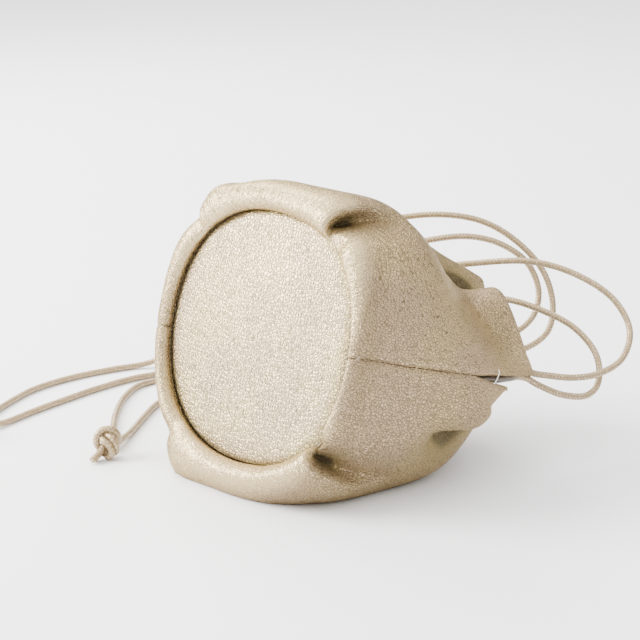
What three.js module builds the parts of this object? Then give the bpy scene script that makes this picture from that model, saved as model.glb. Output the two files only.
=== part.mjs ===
// A drawstring bag of soft grained leather, lying on its side with its mouth drawn shut.
// Millimetres, +Z up, floor at z = 0. The round base faces -X and leans back, the gathered
// mouth faces +X, one side seam faces -Y (near) and the other +Y (far).
import * as THREE from "three";
import { mergeVertices } from "three/addons/utils/BufferGeometryUtils.js";

// Leather, cord and the room that the cord has in its casing
const WALL = 1.5;
const CORD_D = 3.4;
const CASING_ROOM = CORD_D + 1.4;

// The middle of the leather in plan, which the origin lies under
const BAG_MIDDLE = { x: 61.68, y: -4.11 };

// Angles run round the bag's axis: 0 near, 90 up, 180 far, 270 down
const SEAM = { near: 2.4, far: 186.5 };
const SEAM_GAP = 0.2;
const TURN = 360;

// The base panel leans back on the floor and sits a little behind the roll of leather round it
const BASE_CENTRE = new THREE.Vector3(0, 1, 74.5);
const BASE_TILT = 15;
const BASE_INSET = 0.6;
const BASE_EDGE_GAP = 0.7;
const BASE_PILLOW = 2.0;
const BASE_RINGS = 5;
const BASE_SIDES = 48;

// Radii in eight directions round the base: the base's edge, the lip of the roll and how far
// the roll stands proud of the base
const BASE_EDGE = {
  near: 61.5, nearTop: 63.5, top: 61.5, farTop: 66, far: 65, farLow: 66, low: 61.5, nearLow: 63.5,
};
const ROLL_LIP = {
  near: 75, nearTop: 80, top: 76, farTop: 81, far: 74, farLow: 79, low: 79, nearLow: 80,
};
const ROLL_PROUD = {
  near: 4, nearTop: 5, top: 5, farTop: 5, far: 4.5, farLow: 7, low: 8, nearLow: 6,
};
const DIRECTIONS = Object.keys(BASE_EDGE);
const LIP_BEHIND = 7;

// The roll's section: share of its width, depth behind the base's plane, share of its height
const ROLL_SECTION = [
  { across: 0, behind: 2.5, proud: 0 },
  { across: -0.02, behind: 0, proud: 0.35 },
  { across: 0.28, behind: 0, proud: 1 },
  { across: 0.74, behind: 0, proud: 0.75 },
];

// The body's sections from base to mouth: centre, lean, swing to the near side, eight radii,
// and how much of the pleats, pleat corners and mouth folds each one shows
const SECTIONS = [
  {
    name: "shoulder", x: 20, y: 0, z: 69, tilt: 14, swing: 2, pleat: 0.75, pleatWide: 8, corner: 0.7, fold: 0,
    near: 79, nearTop: 84, top: 76, farTop: 83, far: 75, farLow: 82, low: 78, nearLow: 82,
  },
  {
    name: "belly", x: 48, y: -4, z: 63, tilt: 11, swing: 7, pleat: 0.05, pleatWide: 12, corner: 0.1, fold: 0,
    near: 80, nearTop: 82, top: 69, farTop: 81, far: 77, farLow: 81, low: 74, nearLow: 79,
  },
  {
    name: "waist", x: 80, y: -11, z: 56, tilt: 7, swing: 12, pleat: 0, pleatWide: 16, corner: 0, fold: 0.4,
    near: 72, nearTop: 67, top: 60, farTop: 69, far: 72, farLow: 70, low: 60, nearLow: 70,
  },
  {
    name: "neck", x: 110, y: -19, z: 50, tilt: 4, swing: 16, pleat: 0, pleatWide: 16, corner: 0, fold: 0.85,
    near: 54, nearTop: 45, top: 46, farTop: 50, far: 54, farLow: 50, low: 46, nearLow: 51,
  },
  {
    name: "mouth", x: 132, y: -26, z: 43.5, tilt: 2, swing: 18, pleat: 0, pleatWide: 16, corner: 0, fold: 1,
    near: 41, nearTop: 51, top: 41, farTop: 40, far: 40, farLow: 35, low: 35, nearLow: 38,
  },
];
const LIP_SHOWS = { pleat: 0.7, pleatWide: 7, corner: 1 };
const MOUTH_REACH = {
  near: 4, nearTop: -3, top: 0, farTop: 0, far: 4, farLow: 0, low: -4, nearLow: -8,
};

// Four pleats take up the fullness at the base's corners. The lobe on one side of each is sharp
// and curls over it, and its end stands out as a corner.
const PLEATS = [
  { at: 54, deep: 15, sharpSide: 1, lean: 7, corner: 3 },
  { at: 139, deep: 5, sharpSide: -1, lean: 2, corner: 8 },
  { at: 230, deep: 5, sharpSide: 1, lean: 2, corner: 13 },
  { at: 317, deep: 13, sharpSide: -1, lean: 8, corner: 2 },
];
const SHARP_SHARE = 0.7;
const SOFT_SHARE = 1.35;
const CORNER_OFF = 11;
const CORNER_WIDE = 9;
const PINCH_WIDE = 8;
const PINCH_DEEP = 18;
const PINCH_LOSS = 0.8;
const PINCH_LEAST = 0.3;

// The cord gathers the mouth in four deep folds
const FOLDS = [
  { at: 70, deep: 20, wide: 12 },
  { at: 118, deep: 13, wide: 16 },
  { at: 235, deep: 13, wide: 16 },
  { at: 336, deep: 14, wide: 10 },
];
const BELL_POWER = 1.7;

// Rows along the wall are counted in key sections: 0 at the base's edge, 9 at the mouth
const LAST_ROW = ROLL_SECTION.length + SECTIONS.length;
const WALL_STEP = 0.5;
const NECK_ROW = 8;
const CASING_ROWS = [8.35, 8.68, 9];

// Each side seam stays open for a slit at the mouth. The back panel's corner is drawn back there.
const SLIT_ROW = 8.12;
const SLIT_SPREAD = 17;
const SLIT_BACK = 9;
const SLIT_DROP = 6;
const SLIT_LIFT = 0.8;

// The hem turns in over the cord and comes back to the wall: row and share of the casing's room
const HEM_TURN = [30, -30];
const HEM_RETURN = [
  { row: 9, room: 1 },
  { row: 8.62, room: 1 },
  { row: 8.4, room: 0.45 },
  { row: 8.2, room: 0.1 },
];
const CORD_ROW = 8.74;

// Short of a slit the cord leaves its casing slantwise: degrees from the slit, and row
const FRONT_LEAD = [
  { before: 7.9, row: 8.74 },
  { before: 6, row: 8.76 },
  { before: 1, row: 8.9 },
];
const BACK_LEAD = [
  { before: 10, row: 8.76 },
  { before: 2, row: 8.9 },
];
const FRONT_STOP = 9.2;
const BACK_STOP = 16;

// Panels are meshed closer together at the pleats and folds
const PANEL_COLUMNS = 34;
const COLUMN_CROWD = 2.2;
const CROWD_WIDE = 11;
const CROWD_SAMPLES = 720;

// The loose cords' routes over the floor and through the air, from the slits to the knots
const ROUTES = {
  strand_a: [
    [124.5, -63.2, 44.2], [128.5, -64, 42.3], [135, -66.5, 40.5], [148, -74, 38], [162, -80, 38.5],
    [177, -83, 44], [188, -79, 56], [190, -66, 70], [183, -46, 81], [172, -25, 86], [156, 2, 83],
    [138, 32, 76], [122, 62, 62], [110, 92, 44], [100, 120, 23], [90, 143, 7], [76, 157, 1.9],
    [56, 160, 1.9], [36, 151, 1.9], [14, 131, 1.9], [-4, 111, 2.4], [-16.6, 96.9, 4.6],
  ],
  strand_b: [
    [117, -64.3, 43.2], [121, -65.2, 41.8], [127, -68, 37.5], [139, -75, 31], [152, -80, 29],
    [164, -78, 33], [172, -70, 44], [173, -55, 55], [168, -38, 62], [161, -18, 66], [153, 8, 63],
    [142, 36, 55], [129, 64, 44], [115, 89, 30], [99, 110, 14], [82, 124, 4], [62, 131, 1.9],
    [42, 129, 1.9], [22, 118, 1.9], [3, 105, 2.2], [-14.1, 93.2, 4.1],
  ],
  strand_c: [
    [146.5, 6.3, 38.8], [150.5, 3.5, 38], [156, 1, 38.3], [163, -2, 39.2], [173, -6, 40.5],
    [184, -10, 43.5], [193, -12, 51], [198, -10, 63], [197, -2, 77], [188, 10, 87], [176, 22, 91],
    [162, 37, 89], [146, 64, 79], [129, 95, 58], [113, 125, 32], [98, 152, 10], [82, 167, 2.2],
    [60, 172, 1.9], [36, 172, 1.9], [10, 169, 1.9], [-16, 165, 1.9], [-40, 160, 2.2], [-57.5, 159.3, 4.2],
  ],
  strand_d: [
    [141.2, 11.3, 36.3], [145.5, 7.5, 34.8], [151, 3, 33.6], [160, -3, 32.6], [171, -9, 32.2],
    [184, -16, 34.5], [195, -20, 42], [201, -18, 55], [202, -10, 72], [196, 3, 87], [185, 18, 98],
    [171, 34, 102], [154, 56, 99], [138, 80, 87], [122, 108, 68], [108, 139, 42], [97, 166, 17],
    [84, 185, 3.5], [62, 194, 1.9], [36, 198, 1.9], [8, 196, 1.9], [-22, 184, 1.9], [-44, 172, 2.4],
    [-58.6, 164.4, 4.6],
  ],
};
const CORD_SIDES = 8;

// Each pair of cords is tied in a knot that lies on the floor, with its two cut ends past it
const KNOTS = {
  near: { x: -21, y: 91, heading: 213 },
  far: { x: -64.5, y: 160.5, heading: 190 },
};
const KNOT_HALF = { long: 7, wide: 5.8, high: 5.4 };
const KNOT_GROOVE = 0.1;
const KNOT_WRAPS = 3;
const KNOT_TWIST = 4;
const KNOT_MESH = { round: 14, along: 10 };
const TAIL = { from: 6.75, to: 18, apart: 2, fromHeight: 3.4, toHeight: 1.9 };

// Corners this close together are one
const WELD = 1e-5;

const radians = THREE.MathUtils.degToRad;

function wrapDegrees(angle) {
  return THREE.MathUtils.euclideanModulo(angle + TURN / 2, TURN) - TURN / 2;
}

function bell(offset, width) {
  return Math.exp(-Math.pow(Math.abs(offset) / width, BELL_POWER));
}

// A smooth closed curve through a row's eight radii
function around(row, angle) {
  const place = (THREE.MathUtils.euclideanModulo(angle, TURN) / TURN) * DIRECTIONS.length;
  const first = Math.floor(place) % DIRECTIONS.length;
  const t = place - Math.floor(place);
  const [a, b, c, d] = [-1, 0, 1, 2].map(
    (k) => row[DIRECTIONS[(first + k + DIRECTIONS.length) % DIRECTIONS.length]],
  );
  const slope = c - a;
  const bend = 2 * a - 5 * b + 4 * c - d;
  const twist = 3 * b - a - 3 * c + d;
  return 0.5 * (2 * b + slope * t + bend * t * t + twist * t * t * t);
}

// The near, up and inward directions of a section
function sectionAxes(tilt, swing) {
  const axis = new THREE.Vector3(Math.cos(radians(swing)), -Math.sin(radians(swing)), 0);
  const near = new THREE.Vector3(-Math.sin(radians(swing)), -Math.cos(radians(swing)), 0);
  const rise = new THREE.Vector3(0, 0, 1);
  const lean = radians(tilt);
  const up = rise.clone().multiplyScalar(Math.cos(lean)).addScaledVector(axis, Math.sin(lean));
  const inward = axis.clone().multiplyScalar(Math.cos(lean)).addScaledVector(rise, -Math.sin(lean));
  return { near, up, inward };
}

function ringPoint(centre, axes, radius, angle, behind) {
  return centre.clone()
    .addScaledVector(axes.near, radius * Math.cos(radians(angle)))
    .addScaledVector(axes.up, radius * Math.sin(radians(angle)))
    .addScaledVector(axes.inward, behind);
}

// How deep the pleats cut at an angle, and how far they lean under their sharp lobes
function pleatAt(angle, shows) {
  let cut = 0;
  let lean = 0;
  for (const pleat of PLEATS) {
    const offset = wrapDegrees(angle - pleat.at);
    const share = offset * pleat.sharpSide > 0 ? SHARP_SHARE : SOFT_SHARE;
    const depth = shows.pleat * bell(offset, shows.pleatWide * share);
    cut += pleat.deep * depth;
    cut -= pleat.corner * shows.corner * bell(offset - pleat.sharpSide * CORNER_OFF, CORNER_WIDE);
    lean += pleat.lean * pleat.sharpSide * depth;
  }
  return { cut, lean };
}

// The wall's curve from the base's edge over the roll and along the body to the mouth
function wallCurve(angle) {
  const points = [];
  const baseAxes = sectionAxes(BASE_TILT, 0);
  const pinch = Math.max(...PLEATS.map((pleat) => {
    const tight = Math.min(1, PINCH_LEAST + pleat.deep / PINCH_DEEP);
    return tight * bell(wrapDegrees(angle - pleat.at), PINCH_WIDE);
  }));
  const lip = pleatAt(angle, LIP_SHOWS);
  const edge = around(BASE_EDGE, angle);
  const lipRadius = around(ROLL_LIP, angle) - lip.cut;
  const proud = around(ROLL_PROUD, angle) * (1 - PINCH_LOSS * pinch);
  for (const key of ROLL_SECTION) {
    const radius = edge + key.across * (lipRadius - edge);
    points.push(ringPoint(BASE_CENTRE, baseAxes, radius, angle, key.behind - key.proud * proud));
  }
  points.push(ringPoint(BASE_CENTRE, baseAxes, lipRadius, angle + lip.lean, LIP_BEHIND));
  for (const section of SECTIONS) {
    const pleat = pleatAt(angle, section);
    const folds = FOLDS.map((fold) => fold.deep * bell(wrapDegrees(angle - fold.at), fold.wide));
    const cut = pleat.cut + section.fold * folds.reduce((sum, deep) => sum + deep, 0);
    const reach = section.name === "mouth" ? around(MOUTH_REACH, angle) : 0;
    const centre = new THREE.Vector3(section.x, section.y, section.z);
    const axes = sectionAxes(section.tilt, section.swing);
    points.push(ringPoint(centre, axes, around(section, angle) - cut, angle + pleat.lean, reach));
  }
  return new THREE.CatmullRomCurve3(points, false, "centripetal");
}

// A point on the outside of a panel. The leather lies flat where it meets the floor.
function wallPoint(panel, angle, row) {
  const curve = wallCurve(angle);
  const point = curve.getPoint(row / LAST_ROW);
  const open = Math.max(0, (row - SLIT_ROW) / (LAST_ROW - SLIT_ROW));
  if (open > 0) {
    const outward = curve.getTangent(1);
    const share = open * Math.max(
      bell(wrapDegrees(angle - SEAM.near), SLIT_SPREAD),
      bell(wrapDegrees(angle - SEAM.far), SLIT_SPREAD),
    );
    if (panel.opens) {
      point.addScaledVector(outward, -SLIT_BACK * share);
      point.z -= SLIT_DROP * share;
    } else {
      point.z += SLIT_LIFT * share;
    }
  }
  point.z = Math.max(point.z, 0);
  return point;
}

const PROBE_ANGLE = 0.4;
const PROBE_ROW = 0.02;

// The direction along the wall to the mouth, and the direction out of the leather
function wallDirections(panel, angle, row) {
  const ahead = wallPoint(panel, angle, Math.min(row + PROBE_ROW, LAST_ROW));
  const behind = wallPoint(panel, angle, Math.max(row - PROBE_ROW, 0));
  const along = ahead.sub(behind).normalize();
  const round = wallPoint(panel, angle + PROBE_ANGLE, row).sub(wallPoint(panel, angle - PROBE_ANGLE, row));
  const out = along.clone().cross(round).normalize();
  return { along, out };
}

// A point at a depth below the outside of a panel
function under(panel, angle, row, depth) {
  const { out } = wallDirections(panel, angle, row);
  return wallPoint(panel, angle, row).addScaledVector(out, -depth);
}

// The path of one skin of the leather: along the wall, round the hem's turn and back
function panelSkin(panel, angle, depth) {
  const rows = [];
  for (let row = 0; row <= NECK_ROW; row += WALL_STEP) rows.push(row);
  rows.push(...CASING_ROWS);
  const path = rows.map((row) => under(panel, angle, row, depth));
  const middle = WALL + CASING_ROOM / 2;
  const { along, out } = wallDirections(panel, angle, LAST_ROW);
  for (const turn of HEM_TURN) {
    const point = wallPoint(panel, angle, LAST_ROW).addScaledVector(out, -middle);
    point.addScaledVector(out, (middle - depth) * Math.sin(radians(turn)));
    path.push(point.addScaledVector(along, (middle - depth) * Math.cos(radians(turn))));
  }
  for (const key of HEM_RETURN) {
    const layer = WALL + key.room * CASING_ROOM;
    path.push(under(panel, angle, key.row, layer + WALL - depth));
  }
  return path;
}

// Column angles of a panel, crowded where its shape turns quickly
function columnAngles(panel) {
  const reach = (panel.to - panel.from) / CROWD_SAMPLES;
  const centres = [...PLEATS, ...FOLDS].map((fold) => fold.at);
  const sums = [0];
  for (let k = 0; k < CROWD_SAMPLES; k += 1) {
    const angle = panel.from + (k + 0.5) * reach;
    const near = centres.map((at) => bell(wrapDegrees(angle - at), CROWD_WIDE));
    sums.push(sums[k] + 1 + COLUMN_CROWD * Math.max(...near));
  }
  const angles = [];
  let k = 0;
  for (let column = 0; column <= PANEL_COLUMNS; column += 1) {
    const goal = (sums[CROWD_SAMPLES] * column) / PANEL_COLUMNS;
    while (k < CROWD_SAMPLES - 1 && sums[k + 1] < goal) k += 1;
    angles.push(panel.from + reach * (k + (goal - sums[k]) / (sums[k + 1] - sums[k])));
  }
  return angles;
}

// A flat sheet with a thickness, bent so that each of its corners lands on a given skin point
function bentSheet(columns, rows, skinPoint) {
  const sheet = new THREE.BoxGeometry(1, 1, 1, columns, rows, 1);
  sheet.deleteAttribute("normal");
  sheet.deleteAttribute("uv");
  const place = sheet.attributes.position;
  for (let k = 0; k < place.count; k += 1) {
    const column = Math.round((place.getX(k) + 0.5) * columns);
    const row = Math.round((place.getY(k) + 0.5) * rows);
    const point = skinPoint(column, row, place.getZ(k) < 0);
    place.setXYZ(k, point.x, point.y, point.z);
  }
  const welded = mergeVertices(sheet, WELD);
  welded.computeVertexNormals();
  return welded;
}

function panelGeometry(panel) {
  const angles = columnAngles(panel);
  const outside = angles.map((angle) => panelSkin(panel, angle, 0));
  const inside = angles.map((angle) => panelSkin(panel, angle, WALL));
  const rows = outside[0].length - 1;
  return bentSheet(PANEL_COLUMNS, rows, (column, row, outer) => (outer ? outside : inside)[column][row]);
}

// The base panel: a round of leather, slightly pillowed, turned from its own section
function baseGeometry() {
  const profile = [];
  for (let k = 0; k <= BASE_RINGS; k += 1) profile.push(new THREE.Vector2(k / BASE_RINGS, 0));
  for (let k = BASE_RINGS; k >= 0; k -= 1) profile.push(new THREE.Vector2(k / BASE_RINGS, 1));
  const base = new THREE.LatheGeometry(profile, BASE_SIDES);
  base.deleteAttribute("normal");
  base.deleteAttribute("uv");
  const axes = sectionAxes(BASE_TILT, 0);
  const place = base.attributes.position;
  for (let k = 0; k < place.count; k += 1) {
    const share = Math.hypot(place.getX(k), place.getZ(k));
    const angle = THREE.MathUtils.radToDeg(Math.atan2(place.getZ(k), place.getX(k)));
    const radius = share * (around(BASE_EDGE, angle) - BASE_EDGE_GAP);
    const behind = BASE_INSET + WALL * place.getY(k) - BASE_PILLOW * (1 - share * share);
    const point = ringPoint(BASE_CENTRE, axes, radius, angle, behind);
    place.setXYZ(k, point.x, point.y, point.z);
  }
  const welded = mergeVertices(base, WELD);
  welded.computeVertexNormals();
  return welded;
}

// A curve whose steps fall on its own points
class PointCurve extends THREE.CatmullRomCurve3 {
  getPointAt(share, target) {
    return this.getPoint(share, target);
  }

  getTangentAt(share, target) {
    return this.getTangent(share, target);
  }
}

function cordGeometry(points) {
  const section = new THREE.Shape(
    new THREE.Path().absarc(0, 0, CORD_D / 2, 0, 2 * Math.PI).getSpacedPoints(CORD_SIDES).slice(0, -1),
  );
  const extrudePath = new PointCurve(points, false, "centripetal");
  return new THREE.ExtrudeGeometry(section, { steps: points.length - 1, extrudePath });
}

// The middle of the casing, where the cord runs
function casingPoint(panel, angle, row) {
  return under(panel, angle, row, WALL + CASING_ROOM / 2);
}

function casingCord(panel) {
  const inside = columnAngles(panel).filter(
    (angle) => angle > panel.from + panel.stop && angle < panel.to - panel.stop,
  );
  const angles = [panel.from + panel.stop, ...inside, panel.to - panel.stop];
  return cordGeometry(angles.map((angle) => casingPoint(panel, angle, CORD_ROW)));
}

// A knot of two cords: a lump with the cords' wraps as shallow grooves
function knotGeometry() {
  const lump = new THREE.SphereGeometry(1, KNOT_MESH.round, KNOT_MESH.along);
  lump.deleteAttribute("normal");
  lump.deleteAttribute("uv");
  const place = lump.attributes.position;
  for (let k = 0; k < place.count; k += 1) {
    const [x, y, z] = [place.getX(k), place.getY(k), place.getZ(k)];
    const wraps = Math.sin(KNOT_WRAPS * Math.atan2(z, y) + KNOT_TWIST * x);
    const groove = 1 + KNOT_GROOVE * wraps * (1 - x * x);
    place.setXYZ(k, x * KNOT_HALF.long, y * KNOT_HALF.wide * groove, z * KNOT_HALF.high * groove);
  }
  const welded = mergeVertices(lump, WELD);
  welded.computeVertexNormals();
  return welded;
}

// A knot's cut end, to one side of its heading
function tailGeometry(side) {
  const middle = (TAIL.from + TAIL.to) / 2;
  return cordGeometry([
    new THREE.Vector3(TAIL.from, side * TAIL.apart, TAIL.fromHeight),
    new THREE.Vector3(middle, side * TAIL.apart, (TAIL.fromHeight + TAIL.toHeight) / 2),
    new THREE.Vector3(TAIL.to, side * TAIL.apart, TAIL.toHeight),
  ]);
}

// The two body panels, from seam to seam: the front one on top, the back one on the floor
const FRONT = {
  from: SEAM.near + SEAM_GAP,
  to: SEAM.far - SEAM_GAP,
  opens: false,
  lead: FRONT_LEAD,
  stop: FRONT_STOP,
};
const BACK = {
  from: SEAM.far + SEAM_GAP,
  to: SEAM.near + TURN - SEAM_GAP,
  opens: true,
  lead: BACK_LEAD,
  stop: BACK_STOP,
};

function leather(color) {
  return new THREE.MeshStandardMaterial({ color, roughness: 0.45, metalness: 0.35 });
}

function cord() {
  return new THREE.MeshStandardMaterial({ color: 0xbda98a, roughness: 0.6, metalness: 0.1 });
}

const bag = new THREE.Group();
bag.position.set(-BAG_MIDDLE.x, -BAG_MIDDLE.y, 0);

function add(name, geometry, material, parent = bag) {
  const mesh = new THREE.Mesh(geometry, material);
  mesh.name = name;
  parent.add(mesh);
  return mesh;
}

// A loose cord: out of its casing at a slit, then along its route to its knot
function looseCord(panel, slit, route) {
  const inward = slit === panel.from ? 1 : -1;
  const lead = panel.lead.map((key) => casingPoint(panel, slit + inward * key.before, key.row));
  return cordGeometry([...lead, ...route.map((place) => new THREE.Vector3(...place))]);
}

add("base_panel", baseGeometry(), leather(0xc9bfa8));
add("front_panel", panelGeometry(FRONT), leather(0xbfb393));
add("back_panel", panelGeometry(BACK), leather(0xb8ac8e));
add("front_casing_cord", casingCord(FRONT), cord());
add("back_casing_cord", casingCord(BACK), cord());
add("strand_a", looseCord(FRONT, FRONT.from, ROUTES.strand_a), cord());
add("strand_b", looseCord(BACK, BACK.to, ROUTES.strand_b), cord());
add("strand_c", looseCord(FRONT, FRONT.to, ROUTES.strand_c), cord());
add("strand_d", looseCord(BACK, BACK.from, ROUTES.strand_d), cord());
for (const [name, place] of Object.entries(KNOTS)) {
  const tied = new THREE.Group();
  tied.position.set(place.x, place.y, 0);
  tied.rotation.z = radians(place.heading);
  bag.add(tied);
  const knot = add(`knot_${name}`, knotGeometry(), cord(), tied);
  knot.position.z = KNOT_HALF.high * (1 + KNOT_GROOVE);
  add(`tail_${name}_left`, tailGeometry(1), cord(), tied);
  add(`tail_${name}_right`, tailGeometry(-1), cord(), tied);
}

export default bag;
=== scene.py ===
# %% [markdown]
# This lesson dresses a small drawstring bag of soft metallic leather. It lies on its side: the
# round base faces us, the body falls away behind it and the cord has drawn the mouth together.
# We could model it freely, but then it would no longer fit the solid model, which gives the size
# and place of every piece. So we load that model as a fixed frame.

# %% Load the frame
import math

import bmesh
import bpy
import numpy as np
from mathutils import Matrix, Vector, noise


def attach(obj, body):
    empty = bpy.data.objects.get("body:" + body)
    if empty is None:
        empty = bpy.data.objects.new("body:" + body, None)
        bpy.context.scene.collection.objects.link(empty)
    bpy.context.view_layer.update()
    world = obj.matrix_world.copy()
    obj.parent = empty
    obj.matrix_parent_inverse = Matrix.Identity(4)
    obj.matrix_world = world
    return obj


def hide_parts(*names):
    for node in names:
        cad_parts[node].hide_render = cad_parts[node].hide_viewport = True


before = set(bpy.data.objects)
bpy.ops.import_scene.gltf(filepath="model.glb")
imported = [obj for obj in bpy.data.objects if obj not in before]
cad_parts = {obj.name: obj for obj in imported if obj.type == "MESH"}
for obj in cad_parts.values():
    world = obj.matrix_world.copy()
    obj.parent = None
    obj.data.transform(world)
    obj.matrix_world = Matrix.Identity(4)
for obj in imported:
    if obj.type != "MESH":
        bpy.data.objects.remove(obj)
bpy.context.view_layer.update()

# %% [markdown]
# A maker measures a bag in millimetres, here from the floor under the base's middle. Blender works
# in metres, and the frame is centred under the whole bag. We could change every number by hand, but
# one small function does it for whole arrays of points, so all other measures stay the maker's.

# %% Millimetres to the frame
MM = 0.001
BAG_MIDDLE = np.array([61.68, -4.11, 0.0])


def to_frame(points):
    return (points - BAG_MIDDLE) * MM


print("the floor under the base's middle:", to_frame(np.zeros(3)).round(4), "m")

# %% [markdown]
# The camera stands at the photograph's viewing angle, about a metre away: 45 degrees round to the
# near side of the base and 16 degrees above the floor. A short lens close by would also fill the
# picture, but it would swell the base and shrink the mouth, so a long lens is used.

# %% Camera
CAMERA_AT = np.array([-603.3, -643.9, 336.4])
CAMERA_BACK = Vector((-0.679, -0.6806, 0.2756))
SENSOR = 36.0
FOCAL_LENGTH = 107.97

camera_data = bpy.data.cameras.new("camera")
camera_data.sensor_width = SENSOR
camera_data.lens = FOCAL_LENGTH
camera = bpy.data.objects.new("camera", camera_data)
camera.location = to_frame(CAMERA_AT)
camera.rotation_mode = "QUATERNION"
camera.rotation_quaternion = (-CAMERA_BACK).to_track_quat("-Z", "Y")
bpy.context.scene.collection.objects.link(camera)
bpy.context.scene.camera = camera
print("camera at", [round(x, 3) for x in camera.location])

# %% [markdown]
# The body is a soft tube that starts in a padded roll round the base. A cloth simulation could let
# it slump, but its folds would fall by chance and not where they lie on this bag. So the wall is
# described by ten rings, from row 0 at the base's edge to row 9 at the mouth: four over the roll,
# one at the roll's lip and five along the body. Angles run round the bag's axis: 0 is the near
# side, 90 the top, 180 the far side and 270 underneath. A row of eight numbers gives eight
# directions in that order, 45 degrees apart.

# %% The wall's rings
BASE_CENTRE = (0, 1, 74.5)
BASE_TILT = 15
BASE_EDGE = (61.5, 63.5, 61.5, 66, 65, 66, 61.5, 63.5)
ROLL_LIP = (68.5, 79, 76, 81.5, 75, 77, 80, 78)
ROLL_PROUD = (6, 6.5, 6.5, 5.5, 4.5, 7, 8.5, 8)
LIP_BEHIND = 7
ROLL_SECTION = [
    dict(across=0, behind=1.8, proud=0),
    dict(across=-0.03, behind=0, proud=0.45),
    dict(across=0.24, behind=0, proud=1),
    dict(across=0.7, behind=0, proud=0.62),
]
LIP_SHOWS = dict(pleat=0.7, pleat_wide=5.5, corner=1)
SECTIONS = [
    dict(at=(20, 0, 69), tilt=14, swing=2, pleat=0.5, pleat_wide=7.5, corner=0.7,
         radii=(72.5, 83, 76, 83, 75, 82, 78, 81)),
    dict(at=(48, -4, 63), tilt=11, swing=7, pleat=0.05, pleat_wide=12, corner=0.1,
         radii=(77.5, 80, 73, 82, 77, 81, 74, 79)),
    dict(at=(80, -11, 56), tilt=7, swing=12, pleat=0, pleat_wide=16, corner=0,
         radii=(73, 60, 64, 72, 72, 70, 60, 70.3)),
    dict(at=(110, -19, 50), tilt=4, swing=16, pleat=0, pleat_wide=16, corner=0,
         radii=(56, 51, 52, 53, 54, 50, 44, 46), reach=(0, -10, -2, 0, 0, 0, 0, 0)),
    dict(at=(132, -26, 43.5), tilt=2, swing=18, pleat=0, pleat_wide=16, corner=0,
         radii=(41, 58.5, 46, 41, 40, 35, 33, 37), reach=(1, -16, -3, 0, 2, 0, -8, -20)),
]
NO_REACH = (0,) * 8
LIP_ROW = len(ROLL_SECTION)
LAST_ROW = LIP_ROW + len(SECTIONS)
print("rows from base to mouth:", LAST_ROW)

# %% [markdown]
# A ring of leather isn't a circle. Straight lines between its eight radii would leave corners,
# which soft leather doesn't have, so a smooth curve gives every angle between them. Each ring lies
# in a plane of its own, tilted back and swung aside, because the bag leans and bends as it lies.
# All of this works on whole arrays of angles: a fine sheet has tens of thousands of points.

# %% Points on a ring
def wrap_degrees(angle):
    return (angle + 180) % 360 - 180


def around(radii, angle):
    """A smooth closed curve through eight values, read at each angle."""
    radii = np.array(radii, float)
    place = (angle % 360) / 45
    first = np.floor(place).astype(int)
    t = place - first
    a, b, c, d = (radii[(first + k) % 8] for k in (-1, 0, 1, 2))
    bend = 2 * a - 5 * b + 4 * c - d
    twist = 3 * b - a - 3 * c + d
    return 0.5 * (2 * b + (c - a) * t + bend * t**2 + twist * t**3)


def section_axes(tilt, swing):
    """The directions to the near side, upwards and inwards of a tilted and swung ring."""
    lean, turn = math.radians(tilt), math.radians(swing)
    axis = np.array([math.cos(turn), -math.sin(turn), 0])
    near = np.array([-math.sin(turn), -math.cos(turn), 0])
    rise_axis = np.array([0, 0, 1])
    up = math.cos(lean) * rise_axis + math.sin(lean) * axis
    inward = math.cos(lean) * axis - math.sin(lean) * rise_axis
    return near, up, inward


def ring_point(centre, axes, radius, angle, behind):
    near, up, inward = axes
    turn = np.radians(angle)
    flat = np.outer(radius * np.cos(turn), near) + np.outer(radius * np.sin(turn), up)
    return np.array(centre) + flat + np.outer(behind + 0 * turn, inward)


print("the base reaches", around(BASE_EDGE, np.array([0.0, 22.5, 45.0])).round(1), "mm near its near side")

# %% [markdown]
# The body is wider than the base that it is sewn to, so a maker takes up the fullness in four
# pleats. Each one is steep on one side and soft on the other, leans over, and raises a corner of the
# bag beside it. On the roll it also pinches the padding. Sculpting by hand could make them too, but a
# bell curve round the ring is enough: it is nothing away from the pleat, and its width and depth
# are measures that can be read and changed.

# %% Pleats at the base
PLEATS = [
    dict(at=51, slant=7, deep=18, sharp_side=1, lean=9, corner=2, corner_wide=9),
    dict(at=139, slant=0, deep=5, sharp_side=-1, lean=2, corner=4.5, corner_wide=6),
    dict(at=230, slant=0, deep=6, sharp_side=1, lean=2, corner=13, corner_wide=14),
    dict(at=322, slant=-3, deep=18, sharp_side=-1, lean=9, corner=2, corner_wide=9),
]
BELL_POWER = 1.7
SHARP_SHARE = 0.4
SOFT_SHARE = 1.35
CORNER_OFF = 11
PINCH_WIDE = 4.8
PINCH_DEEP = 18
PINCH_LEAST = 0.3


def bell(offset, width, power=BELL_POWER):
    return np.exp(-np.abs(offset / width) ** power)


def side_share(offset, sharp_side):
    if sharp_side == 0:
        return np.ones_like(offset)
    return np.where(offset * sharp_side > 0, SHARP_SHARE, SOFT_SHARE)


def pleat_at(angle, shows):
    """How far the pleats cut into a ring, and how far they lean, in degrees."""
    cut = np.zeros_like(angle)
    lean = np.zeros_like(angle)
    for pleat in PLEATS:
        side = pleat["sharp_side"]
        offset = wrap_degrees(angle - pleat["at"] - pleat["slant"])
        depth = shows["pleat"] * bell(offset, shows["pleat_wide"] * side_share(offset, side))
        raised = bell(offset - side * CORNER_OFF, pleat["corner_wide"])
        cut += pleat["deep"] * depth - pleat["corner"] * shows["corner"] * raised
        lean += pleat["lean"] * side * depth
    return cut, lean


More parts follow.
